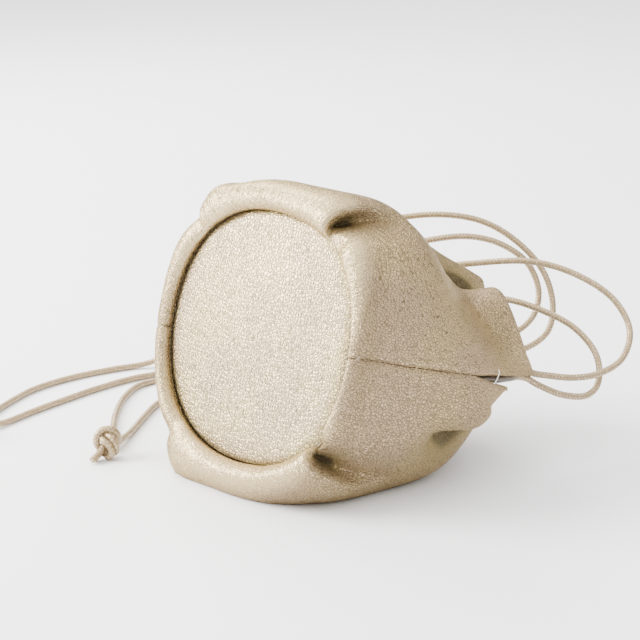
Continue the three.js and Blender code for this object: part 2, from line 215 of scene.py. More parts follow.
def pinch_at(angle):
    pinches = []
    for pleat in PLEATS:
        offset = wrap_degrees(angle - pleat["at"])
        pinches.append(bell(offset, PINCH_WIDE) * min(1, PINCH_LEAST + pleat["deep"] / PINCH_DEEP))
    return np.max(pinches, axis=0)


print("pleats at", [pleat["at"] for pleat in PLEATS], "degrees")

# %% [markdown]
# The drawstring gathers the mouth into deep folds. They are made like the pleats, as bell curves, and
# each has a share of its depth at the five rings of the body. Most folds grow evenly to the mouth.
# The upper one is a deep crease, deepest at the neck. Under the near slit a hollow runs back to
# the waist, and a fold of negative depth is the lobe that stands out beside it.

# %% Folds at the mouth
GATHER = (0, 0, 0.6, 0.85, 1)
CREASE = (0, 0, 0.72, 1.25, 0.97)
HOLLOW = (0, 0, 1, 0.85, 0.75)
FOLDS = [
    dict(at=73, deep=20, wide=12.5, sharp_side=0, shares=CREASE),
    dict(at=118, deep=13, wide=16, sharp_side=0, shares=GATHER),
    dict(at=235, deep=13, wide=16, sharp_side=0, shares=GATHER),
    dict(at=337, deep=22, wide=7, sharp_side=1, shares=HOLLOW),
    dict(at=350, deep=-10, wide=10, sharp_side=0, shares=GATHER),
]


def fold_at(angle, section):
    depth = np.zeros_like(angle)
    for fold in FOLDS:
        offset = wrap_degrees(angle - fold["at"])
        wide = fold["wide"] * side_share(offset, fold["sharp_side"])
        depth += fold["deep"] * fold["shares"][section] * bell(offset, wide)
    return depth


print("folds at", [fold["at"] for fold in FOLDS], "degrees")

# %% [markdown]
# Now the rings become a wall. At every angle there are ten key points, from the base's edge over the
# roll and along the body to the mouth, and a curve runs through them. Blender's own curves could do
# this one at a time. Here all angles are done at once, and the curve is paced by the distance between
# its keys, which keeps it tight over the small roll and calm along the body.

# %% From rings to a wall
PINCH_LOSS = 0.55
LEAST_STEP = 1e-6


def wall_keys(angle):
    axes = section_axes(BASE_TILT, 0)
    cut, lean = pleat_at(angle, LIP_SHOWS)
    edge = around(BASE_EDGE, angle)
    full = around(ROLL_LIP, angle)
    lip = full - cut
    size = np.clip((lip - edge) / (full - edge), 0, 1)
    proud = around(ROLL_PROUD, angle) * (size - PINCH_LOSS * pinch_at(angle))
    keys = []
    for key in ROLL_SECTION:
        radius = edge + key["across"] * (lip - edge)
        turned = angle + lean * max(0, key["across"]) ** 2
        keys.append(ring_point(BASE_CENTRE, axes, radius, turned, key["behind"] - key["proud"] * proud))
    keys.append(ring_point(BASE_CENTRE, axes, lip, angle + lean, LIP_BEHIND))
    for number, section in enumerate(SECTIONS):
        cut, lean = pleat_at(angle, section)
        radius = around(section["radii"], angle) - cut - fold_at(angle, number)
        reach = around(section.get("reach", NO_REACH), angle)
        axes = section_axes(section["tilt"], section["swing"])
        keys.append(ring_point(section["at"], axes, radius, angle + lean, reach))
    return np.array(keys)


def through(keys, place):
    """Points of a smooth curve through its keys, one curve for each place counted in keys."""
    last = len(keys) - 1
    ends = np.concatenate([2 * keys[:1] - keys[1:2], keys, 2 * keys[-1:] - keys[-2:-1]])
    first = np.clip(np.floor(place).astype(int), 0, last - 1)
    pick = np.arange(len(place))
    p0, p1, p2, p3 = (ends[first + k, pick] for k in range(4))
    d0, d1, d2 = (
        np.sqrt(np.maximum(np.linalg.norm(b - a, axis=1), LEAST_STEP))[:, None]
        for a, b in ((p0, p1), (p1, p2), (p2, p3))
    )
    out = ((p1 - p0) / d0 - (p2 - p0) / (d0 + d1) + (p2 - p1) / d1) * d1
    into = ((p2 - p1) / d1 - (p3 - p1) / (d1 + d2) + (p3 - p2) / d2) * d1
    t = (place - first)[:, None]
    start, end = 2 * t**3 - 3 * t**2 + 1, 3 * t**2 - 2 * t**3
    return start * p1 + (t**3 - 2 * t**2 + t) * out + end * p2 + (t**3 - t**2) * into


print("key points along the top:", len(wall_keys(np.array([90.0]))))

# %% [markdown]
# Two body panels are sewn together along the near and the far side. At the mouth each seam stays
# open for a slit, where the cords come out. A boolean could cut the slits, but the panels are sheets
# with edges of their own, so moving those edges apart is enough and keeps the mesh clean. All we
# need first is how far a slit has opened at any angle and row.

# %% The two panels and their slits
SEAM_NEAR = 3.0
SEAM_FAR = 186.5
SEAM_GAP = 0.1
FRONT = dict(name="front_panel", start=SEAM_NEAR + SEAM_GAP, end=SEAM_FAR - SEAM_GAP, opens=False)
BACK = dict(name="back_panel", start=SEAM_FAR + SEAM_GAP, end=SEAM_NEAR + 360 - SEAM_GAP, opens=True)
SLIT_ROW = 8.12
SLIT_SPREAD = 30
SLIT_POWER = 3


def slit_share(angle, row, spread=SLIT_SPREAD, first_row=SLIT_ROW, power=SLIT_POWER):
    """How fully a slit has opened: from nothing at its first row to 1 at the mouth."""
    open_share = np.maximum(0, (row - first_row) / (LAST_ROW - first_row))
    near = bell(wrap_degrees(angle - SEAM_NEAR), spread, power)
    far = bell(wrap_degrees(angle - SEAM_FAR), spread, power)
    return open_share * np.maximum(near, far)


print("the near slit opens at", SEAM_NEAR, "degrees and the far one at", SEAM_FAR)

# %% [markdown]
# The pull of the cords draws the lower panel's corner back and down into a lobe, and leaves a narrow
# flap at the seam. The upper panel's corner stands a little forward and droops. Proportional editing
# could pull these corners by hand. Here the lower panel is read some rows further back on the same
# wall, so it stays on the bag's surface. Leather that meets the floor lies flat on it: heights stop
# at zero.

# %% The walls at the slits
DRAWN_ROW = 6.0
DRAWN_ROWS = 1.9
LOBE_AT = 341
LOBE_WIDE = 5.5
LOBE_ROWS = 0.6
FLAP_WIDE = 4.5
FLAP_SHARE = 0.5
SLIT_DROP = 7.5
DROP_WIDE = 9
SLIT_FORWARD = 5
FORWARD_WIDE = 10
FRONT_DROOP = 1.8
DROOP_ROW = 7.3
DROOP_ROWS = 0.8
STEP_ROW = 0.02


def rise(value, start, over):
    return np.clip((value - start) / over, 0, 1)


def fall(value, end, over):
    return np.clip((end - value) / over, 0, 1)


def drawn_back(keys, angle, row):
    """The lower panel's points, drawn back at the slits, and how far they drop there."""
    flap = FLAP_SHARE * slit_share(angle, row, FLAP_WIDE, power=BELL_POWER)
    drawn = slit_share(angle, row, first_row=DRAWN_ROW) - flap
    lobe = LOBE_ROWS * bell(wrap_degrees(angle - LOBE_AT), LOBE_WIDE)
    back = np.maximum(0, (row - DRAWN_ROW) / (LAST_ROW - DRAWN_ROW)) * lobe
    point = through(keys, row - DRAWN_ROWS * drawn - back)
    return point, SLIT_DROP * slit_share(angle, row, DROP_WIDE)


def pushed_forward(keys, angle, row):
    """The upper panel's points, pushed forward at the slits, and how far they droop there."""
    last = row * 0 + LAST_ROW
    outward = through(keys, last) - through(keys, last - STEP_ROW)
    outward /= np.linalg.norm(outward, axis=1)[:, None]
    forward = SLIT_FORWARD * slit_share(angle, row, FORWARD_WIDE)
    point = through(keys, row) + forward[:, None] * outward
    corner = slit_share(angle, last, FORWARD_WIDE)
    return point, FRONT_DROOP * rise(row, DROOP_ROW, DROOP_ROWS) * corner


def wall_point(panel, angle, row):
    shape = drawn_back if panel["opens"] else pushed_forward
    point, drop = shape(wall_keys(angle), angle, row)
    point[:, 2] = np.maximum(point[:, 2] - drop, 0)
    return point


probe = wall_point(FRONT, np.array([90.0]), np.array([5.0]))
print("top of the shoulder:", probe.round(1), "mm")

# %% [markdown]
# Hems, cords and wrinkles all need the direction out of the leather. A mesh has normals, but there is
# no mesh yet, so the direction is measured on the surface itself, from two short steps: one along the
# wall and one round it.

# %% The way out of the leather
STEP_ANGLE = 0.4


def wall_directions(panel, angle, row):
    ahead = wall_point(panel, angle, np.minimum(row + STEP_ROW, LAST_ROW))
    along = ahead - wall_point(panel, angle, np.maximum(row - STEP_ROW, 0))
    round_it = wall_point(panel, angle + STEP_ANGLE, row) - wall_point(panel, angle - STEP_ANGLE, row)
    along /= np.linalg.norm(along, axis=1)[:, None]
    out = np.cross(along, round_it)
    return along, out / np.linalg.norm(out, axis=1)[:, None]


def under(panel, angle, row, depth):
    out = wall_directions(panel, angle, row)[1]
    return wall_point(panel, angle, row) - np.reshape(depth, (-1, 1)) * out


print("out of the shoulder:", wall_directions(FRONT, np.array([90.0]), np.array([5.0]))[1].round(2))

# %% [markdown]
# Cords, panels and the base are all made in one way. A flat grid is the cloth before it is sewn:
# bmesh makes it, its own flat size becomes the UV map, and then each point is moved to its place.
# We could list vertices and faces ourselves, but the grid operator can't get a face wrong. Points
# that land on each other are merged, which closes a tube along its side and a round at its middle.

# %% A helper that bends a grid
MERGE = 2e-6


def bent_grid(places, flat_uv, **attributes):
    """A grid whose point (i, j) goes to places[i, j], with flat_uv[i, j] in its UV map."""
    rows, columns = places.shape[0] - 1, places.shape[1] - 1
    bm = bmesh.new()
    bmesh.ops.create_grid(bm, x_segments=rows, y_segments=columns, size=0.5)
    uv = bm.loops.layers.uv.new("UVMap")
    layers = {name: bm.verts.layers.float.new(name) for name in attributes}
    spot = {
        v: (round((v.co.x + 0.5) * rows), round((v.co.y + 0.5) * columns))
        for v in bm.verts
    }
    for face in bm.faces:
        face.smooth = True
        for loop in face.loops:
            loop[uv].uv = flat_uv[spot[loop.vert]]
    for v, place in spot.items():
        v.co = places[place]
        for name, layer in layers.items():
            v[layer] = attributes[name][place]
    return bm


def finish_mesh(bm, name, merge=MERGE):
    bmesh.ops.remove_doubles(bm, verts=bm.verts, dist=merge)
    if not any(edge.is_boundary for edge in bm.edges):
        bmesh.ops.recalc_face_normals(bm, faces=bm.faces)
    mesh = bpy.data.meshes.new(name)
    bm.to_mesh(mesh)
    bm.free()
    piece = bpy.data.objects.new(name, mesh)
    bpy.context.scene.collection.objects.link(piece)
    return piece


print("grid helper ready")

# %% [markdown]
# The drawstring is a fine round cord. It is springy, so its loops stand up beside the mouth before
# they run down to the floor and back past the bag. A curve object with a round bevel could draw it,
# but we also want its true length and a pattern that follows it, so each route becomes an even row
# of points. The routes repeat the solid model's, in millimetres. Only the last stretch before the
# near knot comes a little nearer to us, where the knot really lies.

# %% Cord routes
ROUTES = {
    "strand_a": [
        (124.5, -63.2, 44.2), (128.5, -64, 42.3), (135, -66.5, 40.5), (148, -74, 38), (162, -80, 38.5),
        (177, -83, 44), (188, -79, 56), (190, -66, 70), (183, -46, 81), (172, -25, 86), (156, 2, 83),
        (138, 32, 76), (122, 62, 62), (110, 92, 44), (100, 120, 23), (90, 143, 7), (76, 157, 1.9),
        (56, 160, 1.9), (36, 150, 1.9), (11, 128, 1.9), (-9, 106, 2.4), (-24.7, 90.8, 4.6),
    ],
    "strand_b": [
        (117, -64.3, 43.2), (121, -65.2, 41.8), (127, -68, 37.5), (139, -75, 31), (152, -80, 29),
        (164, -78, 33), (172, -70, 44), (173, -55, 55), (168, -38, 62), (161, -18, 66), (153, 8, 63),
        (142, 36, 55), (129, 64, 44), (115, 89, 30), (99, 110, 14), (82, 124, 4), (62, 131, 1.9),
        (42, 128, 1.9), (20, 115, 1.9), (-2, 100, 2.2), (-22.2, 87.1, 4.1),
    ],
    "strand_c": [
        (146.5, 6.3, 38.8), (150.5, 3.5, 38), (156, 1, 38.3), (163, -2, 39.2), (173, -6, 40.5),
        (184, -10, 43.5), (193, -12, 51), (198, -10, 63), (197, -2, 77), (188, 10, 87), (176, 22, 91),
        (162, 37, 89), (146, 64, 79), (129, 95, 58), (113, 125, 32), (98, 152, 10), (82, 167, 2.2),
        (60, 172, 1.9), (36, 172, 1.9), (10, 169, 1.9), (-16, 165, 1.9), (-40, 160, 2.2),
        (-57.5, 159.3, 4.2),
    ],
    "strand_d": [
        (141.2, 11.3, 36.3), (145.5, 7.5, 34.8), (151, 3, 33.6), (160, -3, 32.6), (171, -9, 32.2),
        (184, -16, 34.5), (195, -20, 42), (201, -18, 55), (202, -10, 72), (196, 3, 87), (185, 18, 98),
        (171, 34, 102), (154, 56, 99), (138, 80, 87), (122, 108, 68), (108, 139, 42), (97, 166, 17),
        (84, 185, 3.5), (62, 194, 1.9), (36, 198, 1.9), (8, 196, 1.9), (-22, 184, 1.9), (-44, 172, 2.4),
        (-58.6, 164.4, 4.6),
    ],
}
CORD_STEP = 1.2
FINE_STEPS = 40


def travelled(path):
    return np.concatenate([[0], np.cumsum(np.linalg.norm(np.diff(path, axis=0), axis=1))])


def path_length(path):
    return float(np.linalg.norm(np.diff(path, axis=0), axis=1).sum())


def smooth_path(points, step=CORD_STEP):
    """A smooth curve through a few points, cut into even steps."""
    points = np.array(points, float)
    fine = np.linspace(0, len(points) - 1, FINE_STEPS * len(points))
    keys = np.repeat(points[:, None, :], len(fine), axis=1)
    line = through(keys, fine)
    length = travelled(line)
    even = np.linspace(0, length[-1], max(4, round(length[-1] / step)) + 1)
    return np.stack([np.interp(even, length, line[:, axis]) for axis in range(3)], axis=1)


print("routes:", {name: len(route) for name, route in ROUTES.items()}, "points")

# %% [markdown]
# Each cord runs in the turned hem of a panel, its casing, and leaves it at a slit. The start could be
# hidden by a simple stub, but one can look into the slits, so a strand really begins in the casing,
# as deep under the leather as the cord lies there, and then follows its route. One of them,
# strand_b, first lies in the open near slit, and its start follows that slit instead.

# %% Where the strands begin
WALL = 1.5
CORD_D = 3.4
CORD_EASE = 1.4
CASING_ROOM = CORD_D + CORD_EASE
CASING_ROW = 8.74
LEADS = dict(front=[(7.9, CASING_ROW), (6, 8.76), (1, 8.9)], back=[(0.5, 8.98)])
NEAR_SLIT = [(66, -78, 56.5), (77, -75.3, 53.6), (87, -73.8, 50.7), (102, -69.6, 47.2)]


def casing_point(panel, angle, row):
    return under(panel, np.array([float(angle)]), np.array([float(row)]), WALL + CASING_ROOM / 2)[0]


def cord_path(panel, at_start, route):
    """A strand's path: it leaves its casing at one end of the panel and then follows its route."""
    lead = LEADS["back" if panel["opens"] else "front"]
    slit, inward = (panel["start"], 1) if at_start else (panel["end"], -1)
    start = [casing_point(panel, slit + inward * before, row) for before, row in lead]
    return smooth_path(start + [np.array(place) for place in route])


strand_paths = {
    "strand_a": cord_path(FRONT, True, ROUTES["strand_a"]),
    "strand_b": smooth_path(NEAR_SLIT + ROUTES["strand_b"]),
    "strand_c": cord_path(FRONT, False, ROUTES["strand_c"]),
    "strand_d": cord_path(BACK, True, ROUTES["strand_d"]),
}
for name, path in strand_paths.items():
    print(name, round(path_length(path)), "mm")

# %% [markdown]
# A cord is a grid rolled round its path. At every step two directions across the path carry the round
# section. Taking them from the world's axes would twist the braid where the cord turns, so they are
# carried along and turned as little as possible. The last rings at each end shrink to a point, which
# rounds off the cut end as a hot knife does. An attribute marks the part that lies in shade.

# %% Swept tubes
CORD_SIDES = 16
END_RINGS = 4
SHADE_FADE = 12


def carried_axes(path):
    tangent = np.gradient(path, axis=0)
    tangent /= np.linalg.norm(tangent, axis=1)[:, None]
    side = np.cross(tangent[0], (0, 0, 1))
    across = []
    for direction in tangent:
        side = side - direction * side.dot(direction)
        side = side / np.linalg.norm(side)
        across.append(side)
    return np.array(across), np.cross(tangent, across)


def tube(name, path, diameter=CORD_D, sides=CORD_SIDES, inside=0):
    """A round cord along a path, whose first part, as long as inside, lies in the bag's shade."""
    across, upward = carried_axes(path)
    last = len(path) - 1
    rings = np.concatenate([np.zeros(END_RINGS, int), np.arange(len(path)), np.full(END_RINGS, last)])
    close = np.sin(np.linspace(0, math.pi / 2, END_RINGS))
    radius = diameter / 2 * np.concatenate([close, np.ones(len(path)), close[::-1]])[:, None, None]
    turn = np.linspace(0, 2 * math.pi, sides + 1)
    spin = turn[None, :, None]
    round_it = np.cos(spin) * across[rings][:, None, :] + np.sin(spin) * upward[rings][:, None, :]
    places = path[rings][:, None, :] + radius * round_it
    travel = travelled(path)[rings][:, None]
    flat = np.stack(np.broadcast_arrays(travel * MM, turn[None, :] / (2 * math.pi)), axis=2)
    shade = fall(travel, inside, SHADE_FADE) * np.ones(sides + 1)
    return finish_mesh(bent_grid(to_frame(places), flat, shade=shade), name)


print("tubes have", CORD_SIDES, "sides")

# %% [markdown]
# The four loose strands are the first pieces. Each one rides on the root body, and the solid that it
# stands in for is hidden. The start of strand_b lies deep in the slit, where hardly any light comes,
# so that stretch is marked as shaded.

# %% Strands
INSIDE = {"strand_b": 50}

strands = {}
for name, path in strand_paths.items():
    piece = tube(name + "_braid", path, inside=INSIDE.get(name, 0))
    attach(piece, "root")
    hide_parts(name)
    strands[name] = piece
print("strands:", [len(piece.data.polygons) for piece in strands.values()], "faces")

# %% [markdown]
# Each pair of cords is tied together in an overhand knot. One cord goes round the outside as a ring
# and comes back over the front, the other one wraps beside it, and both cut ends leave side by side.
# A mathematical knot would be too even, so this one is drawn as it is seen from the front: each point
# is so far right, up and forward from the knot's middle. Both knots are tied alike, the far one turned
# to where its cords come from.

# %% Knots
TIED = [
    [(-0.6, 1.2, -4.5), (-2.4, 2.6, -2.4), (-0.2, 3.9, 1.0), (3.6, 1.6, 3.9), (4.9, -1.6, 3.0),
     (4.6, -4.6, 0.8), (2.2, -5.2, -1.6), (-0.6, -4.2, -1.6), (-3.2, -5.6, 1.2), (-6.0, -8.4, 5.0)],
    [(5.4, 1.2, -4.0), (5.4, 3.9, -0.2), (2.9, 6.5, 1.7), (-0.9, 6.9, 2.1), (-4.1, 4.5, 2.1),
     (-5.2, 0.9, 1.6), (-4.0, -2.6, 0.4), (-1.2, -5.7, 0.2), (1.2, -7.0, 2.4), (3.0, -5.2, 4.2),
     (2.2, -2.0, 5.0), (-0.5, 0.6, 4.5), (-2.2, 1.8, 2.2), (-1.2, 0.2, 0.6), (-2.2, -3.6, 3.4),
     (-6.4, -8.6, 8.5)],
]
KNOTS = {
    "near": dict(at=(-30.5, 83.5, 8.2), turn=0, strands=("strand_a", "strand_b")),
    "far": dict(at=(-66.0, 160.0, 8.4), turn=-27, strands=("strand_d", "strand_c")),
}
KNOT_STEP = 0.7
KNOT_SIDES = 14
OVERLAP_STEPS = 5


def knot_axes(turn):
    """The directions right, up and forward of a knot, turned about the upright."""
    x, y, z = CAMERA_BACK
    cos, sin = math.cos(math.radians(turn)), math.sin(math.radians(turn))
    forward = np.array([cos * x - sin * y, sin * x + cos * y, z])
    right = np.cross((0, 0, 1), forward)
    right /= np.linalg.norm(right)
    return np.array([right, np.cross(forward, right), forward])


def knot_path(knot, number):
    """The tied end of a strand, which starts a few steps back on the strand itself."""
    strand = strand_paths[knot["strands"][number]]
    tied = np.array(TIED[number]) @ knot_axes(knot["turn"]) + np.array(knot["at"])
    return smooth_path([strand[-OVERLAP_STEPS], strand[-1], *tied], step=KNOT_STEP)


knots = {}
for name, knot in KNOTS.items():
    for number, end in enumerate(("left", "right")):
        piece = tube(f"knot_{name}_{end}", knot_path(knot, number), sides=KNOT_SIDES)
        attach(piece, "root")
        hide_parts(f"tail_{name}_{end}", f"knot_{name}")
        knots[name, number] = piece
print("knot pieces:", [piece.name for piece in knots.values()])

# %% [markdown]
# For every strand that ends in a knot the path is turned into the frame's metres once more; nothing is
# kept from it.

for name, knot in KNOTS.items():
    for number, strand in enumerate(knot["strands"]):
        path = to_frame(strand_paths[strand])
print("cords declared:", len(strands))

# %% [markdown]
# Inside each hem a stretch of cord runs from slit to slit. It hardly shows and could be left out, but
# it is what holds the gathers and fills the hem, so it is made like the rest, with fewer sides.

# %% Cords in the casings
CASING_STOP = dict(front=9.2, back=30)
CASING_ANGLE_STEP = 2.0
CASING_SIDES = 12

casing_cords = []
for panel, side in ((FRONT, "front"), (BACK, "back")):
    stop = CASING_STOP[side]
    casing_angles = np.arange(panel["start"] + stop, panel["end"] - stop, CASING_ANGLE_STEP)
    casing_rows = np.full(len(casing_angles), CASING_ROW)
    path = under(panel, casing_angles, casing_rows, WALL + CASING_ROOM / 2)
    piece = tube(f"{side}_casing_cord_round", smooth_path(path), sides=CASING_SIDES)
    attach(piece, "root")
    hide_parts(f"{side}_casing_cord")
    casing_cords.append(piece)
    print(piece.name, round(path_length(path)), "mm")

# %% [markdown]
# A body panel is one sheet of leather, so it is laid out as one grid. Its rows rise from the seam round
# the base, turn over the roll and run along the body to the mouth. Its columns go from seam to
# seam. An even grid would need far more points to be sharp in the creases, so the columns are
# crowded together at the pleats and folds.

# %% A panel's flat grid
ROLL_STEPS = 28
BODY_STEPS = 105
ROLL_ROWS = np.linspace(0, LIP_ROW, ROLL_STEPS + 1)
BODY_ROWS = np.linspace(LIP_ROW, LAST_ROW, BODY_STEPS + 1)[1:]
WALL_ROWS = np.concatenate([ROLL_ROWS, BODY_ROWS])
PANEL_COLUMNS = 190
COLUMN_CROWD = 2.2
CROWD_WIDE = 11
FINE_COLUMNS = 721


def column_angles(panel):
    fine = np.linspace(panel["start"], panel["end"], FINE_COLUMNS)
    centres = [fold["at"] for fold in PLEATS + FOLDS]
    near = np.max([bell(wrap_degrees(fine - at), CROWD_WIDE) for at in centres], axis=0)
    weight = np.concatenate([[0], np.cumsum(1 + COLUMN_CROWD * near[1:])])
    return np.interp(np.linspace(0, weight[-1], PANEL_COLUMNS + 1), weight, fine)


angles = {panel["name"]: column_angles(panel) for panel in (FRONT, BACK)}
print("columns closest together:", {name: round(float(np.diff(a).min()), 2) for name, a in angles.items()})

# %% [markdown]
# Soft leather doesn't bend without wrinkles. Fine ones cross the roll, larger ones fan out from the
# pleats, where the leather is crowded, and the body has soft dents. A bump in the material could fake
# them, but they are seen from the side and are part of the shape, so they move the points in and out
# of the wall. The pebble grain is far smaller and is left to the material.

# %% Wrinkles
ROLL_WRINKLE = 0.16
ROLL_WRINKLE_STEP = 5.5
ROLL_SQUEEZE = 0.25
ROLL_WRINKLE_IN = 0.8
ROLL_WRINKLE_END = 5
ROLL_WRINKLE_OUT = 1.2
SOFT_DENT = 0.8
SOFT_DENT_STEP = 34.0
SOFT_DENT_ROWS = 1.5
PLEAT_WRINKLES = [
    dict(at=44, row=4.9, wide=9, long=0.6, high=0.3, count=9, slant=26),
    dict(at=330, row=4.9, wide=9, long=0.6, high=0.3, count=9, slant=-26),
    dict(at=146, row=4.6, wide=9, long=0.6, high=0.3, count=7, slant=-15),
    dict(at=222, row=4.4, wide=9, long=0.7, high=0.3, count=7, slant=18),
]
FAN_DEGREES = 60
FAN_STRAY = 6
FAN_STRAY_STEP = 9
SEAM_DIP = 0.45
SEAM_DIP_WIDE = 0.9
CALM_AT_BASE = 0.5
CALM_AT_MOUTH = 0.4


def noise_at(points, step, seed):
    shift = Vector((seed * 17.3, seed * 7.1, seed * 3.7))
    return np.array([noise.noise(Vector(p) / step + shift) for p in points])


def wrinkle_height(angle, row, points):
    on_roll = rise(row, 0, ROLL_WRINKLE_IN) * fall(row, ROLL_WRINKLE_END, ROLL_WRINKLE_OUT)
    squeezed = points * (ROLL_SQUEEZE, 1, 1)
    height = ROLL_WRINKLE * on_roll * noise_at(squeezed, ROLL_WRINKLE_STEP, 1)
    height += SOFT_DENT * rise(row, LIP_ROW, SOFT_DENT_ROWS) * noise_at(points, SOFT_DENT_STEP, 2)
    stray = FAN_STRAY * noise_at(points, FAN_STRAY_STEP, 3)
    for fan in PLEAT_WRINKLES:
        offset = wrap_degrees(angle - fan["at"])
        here = bell(offset, fan["wide"]) * bell(row - fan["row"], fan["long"])
        phase = (offset + fan["slant"] * (row - fan["row"])) * fan["count"] * 2 * math.pi / FAN_DEGREES
        height += fan["high"] * here * np.sin(phase + stray)
    edge = np.minimum(np.abs(wrap_degrees(angle - SEAM_NEAR)), np.abs(wrap_degrees(angle - SEAM_FAR)))
    height -= SEAM_DIP * np.exp(-(np.maximum(edge - SEAM_GAP, 0) / SEAM_DIP_WIDE) ** 2)
    return height * rise(row, 0, CALM_AT_BASE) * fall(row, LAST_ROW, CALM_AT_MOUTH)


print("wrinkle fans:", len(PLEAT_WRINKLES))

# %% [markdown]
# The wall of a panel and its hem are worked out row by row. At the mouth the leather turns in over the
# cord in a half round and comes back to the wall, as a hem is sewn. A thick rim could stand for it, but
# one looks into the mouth, so the leather really turns. At the lobe by the slit there is no cord,
# and the hem is pressed flat. Wrinkles fade out where the leather lies on the floor.

# %% Wall and hem of a panel
FLOOR_CALM = 3
HEM_TURNS = np.linspace(90, -90, 11)[1:-1]
HEM_RETURN = [(9, 1), (8.86, 1), (8.74, 1), (8.62, 1), (8.5, 0.75), (8.4, 0.45), (8.3, 0.25), (8.2, 0.1)]
FLAT_HEM = 0.9


def wall_skin(panel, angle):
    """Rows of points on the wall, and the way out of the leather at each."""
    row_grid, angle_grid = (g.ravel() for g in np.meshgrid(WALL_ROWS, angle, indexing="ij"))
    out = wall_directions(panel, angle_grid, row_grid)[1]
    point = wall_point(panel, angle_grid, row_grid)
    lift = wrinkle_height(angle_grid, row_grid, point) * rise(point[:, 2], 0, FLOOR_CALM)
    point = point + lift[:, None] * out
    point[:, 2] = np.maximum(point[:, 2], 0)
    shape = (len(WALL_ROWS), len(angle), 3)
    return list(point.reshape(shape)), list(out.reshape(shape))


def hem_skin(panel, angle):
    """Rows of points over the hem and back to the wall, and the way out of the leather."""
    last = np.full(len(angle), float(LAST_ROW))
    along, out = wall_directions(panel, angle, last)
    rim = wall_point(panel, angle, last)
    at_lobe = np.maximum(slit_share(angle, last), bell(wrap_degrees(angle - LOBE_AT), 2 * LOBE_WIDE))
    pressed = FLAT_HEM * at_lobe if panel["opens"] else 0 * angle
    space = CASING_ROOM * (1 - pressed)
    middle = (WALL + space / 2)[:, None]
    skin, outs = [], []
    for turn in np.radians(HEM_TURNS):
        bend = middle * (math.sin(turn) * out + math.cos(turn) * along)
        skin.append(rim - middle * out + bend)
        outs.append(out)
    for row, room in HEM_RETURN:
        rows = np.full(len(angle), float(row))
        skin.append(under(panel, angle, rows, 2 * WALL + room * space))
        outs.append(-wall_directions(panel, angle, rows)[1])
    return skin, outs


print("hem rows:", len(HEM_TURNS) + len(HEM_RETURN))

# %% [markdown]
# A sewn edge doesn't just stop: it turns in at the seam. A bevel would round both corners alike, so
# each side column is repeated a little deeper in the bag instead, which leaves a fine groove along the
# seam. At the mouth's edge and in the hem the leather is hardly turned.

# %% Sewn side edges
SEAM_TURN_IN = (5.0, 2.5, 0.9)
SEWN_LEAST = 0.05
SEWN_AT_BASE = 0.6
SEWN_BASE_ROWS = 0.5
SEWN_MOUTH_ROWS = 0.2


def turned_edges(skin, outs):
    sewn = np.full(len(skin), SEWN_LEAST)
    at_mouth = np.clip((LAST_ROW - WALL_ROWS) / SEWN_MOUTH_ROWS, SEWN_LEAST, 1)
    sewn[: len(WALL_ROWS)] = np.clip(WALL_ROWS / SEWN_BASE_ROWS, SEWN_AT_BASE, 1) * at_mouth
    sewn = sewn[:, None, None]
    left = [skin[:, :1] - depth * sewn * outs[:, :1] for depth in SEAM_TURN_IN]
    right = [skin[:, -1:] - depth * sewn * outs[:, -1:] for depth in SEAM_TURN_IN[::-1]]
    return np.concatenate(left + [skin] + right, axis=1)


skins = {}
for panel in (FRONT, BACK):
    wall, wall_outs = wall_skin(panel, angles[panel["name"]])
    hem, hem_outs = hem_skin(panel, angles[panel["name"]])
    skins[panel["name"]] = turned_edges(np.array(wall + hem), np.array(wall_outs + hem_outs))
    print(panel["name"], skins[panel["name"]].shape[:2], "points")

# %% [markdown]
# Where the leather is stretched over the roll its grain lies flatter and its foil is smoother, and a
# painted highlight brightens its colour there. A painted picture could hold that, but then it would
# have to be laid on by hand. An attribute is worked out on the same rows and angles as the shape, so
# it always fits: eight numbers say how far the stretch and painted highlight reach over the roll in
# each direction, and eight more how strong they are.

# %% Stretch and painted highlight on the roll
ROLL_STRETCH_AND_HIGHLIGHT_END = (2.8, 4.2, 5.2, 4.6, 3.0, 3.2, 3.4, 3.2)
ROLL_STRETCH_AND_HIGHLIGHT = (0.9, 1.1, 1.35, 1.15, 0.55, 0.85, 1, 1)
STRETCH_AND_HIGHLIGHT_IN = 0.6


# The attribute holds the roll's stretch and its painted highlight.
def roll_shine(rows, angle):
    past_seam = rise(rows, 0, STRETCH_AND_HIGHLIGHT_IN)[:, None]
    stretched = past_seam * fall(rows[:, None], around(ROLL_STRETCH_AND_HIGHLIGHT_END, angle), 1)
    return stretched * around(ROLL_STRETCH_AND_HIGHLIGHT, angle)


print("the shine reaches row", max(ROLL_STRETCH_AND_HIGHLIGHT_END), "at the top")

# %% [markdown]
# Shade is painted into the leather's colour where it is folded: in the gathers, along the seam at the
# base, in the pleats with a fine dark line at their bottom, and at a few spots on the sides. The
# renderer's own shadows give part of this, and a second attribute adds up these painted shades, which
# turn the colour brown and, deepest in, near black.

# %% Shade in the folds
GATHER_SHADES = [
    dict(at=76, wide=9, sharp_side=0, share=0.6),
    dict(at=112, wide=22, sharp_side=0, share=0.65),
    dict(at=235, wide=11, sharp_side=0, share=0.65),
    dict(at=334, wide=8, sharp_side=1, share=1.3),
]
GATHER_ROW = 6.1
GATHER_ROWS = 0.8
SHADE_SPOTS = [
    dict(at=185, wide=45, row=4, rows=1.3, share=0.4),
    dict(at=3, wide=38, row=3.6, rows=0.8, share=0.3),
    dict(at=81, wide=5.5, row=8.2, rows=0.5, share=1.2),
]
SEAM_SHADE = 0.5
SEAM_SHADE_ROWS = 1.1
PLEAT_SHADE_WIDE = 4.2
PLEAT_SHADE_ROW = 4.3
PLEAT_SHADE_ROWS = 0.55
CREASE_WIDE = 1.4
CREASE_SHADE = 0.9
CREASE_IN = 0.5
CREASE_END = 4.6


